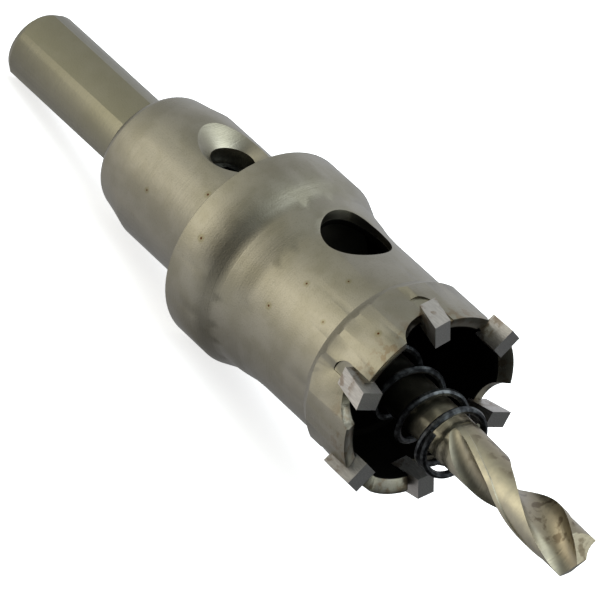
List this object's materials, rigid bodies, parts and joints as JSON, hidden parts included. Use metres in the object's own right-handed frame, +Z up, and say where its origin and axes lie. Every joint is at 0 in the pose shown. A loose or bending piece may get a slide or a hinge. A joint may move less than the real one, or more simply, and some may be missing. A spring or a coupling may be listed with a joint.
{
  "type": "hole saw",
  "caption": "Hole saw with a flatted shank, depth-stop flange, carbide-tipped cup, pilot drill and ejector spring, for cutting round holes with a hand drill.",
  "frame": {"origin": "on the table, under the middle of the saw's length and width as it lies", "axes": "+X towards the teeth and pilot drill along the table, +Z up; the saw's own axis rises 10.58 degrees towards the teeth, because it rests on the flange's rear rim and on a corner of a shank flat"},
  "size_m": [0.1082, 0.0264, 0.0312],
  "materials": {
    "body_steel": "satin, lightly worn",
    "carbide": "ground matt",
    "drill_steel": "ground, semi bright",
    "spring_steel": "dark drawn wire",
    "screw_steel": "black oxide"
  },
  "bodies": {
    "root": {"cutter_body": "body_steel", "carbide_tip_1": "carbide", "carbide_tip_2": "carbide", "carbide_tip_3": "carbide", "carbide_tip_4": "carbide", "carbide_tip_5": "carbide", "carbide_tip_6": "carbide", "pilot_drill": "drill_steel", "ejector_spring": "spring_steel", "set_screw": "screw_steel"}
  },
  "joints": []
}
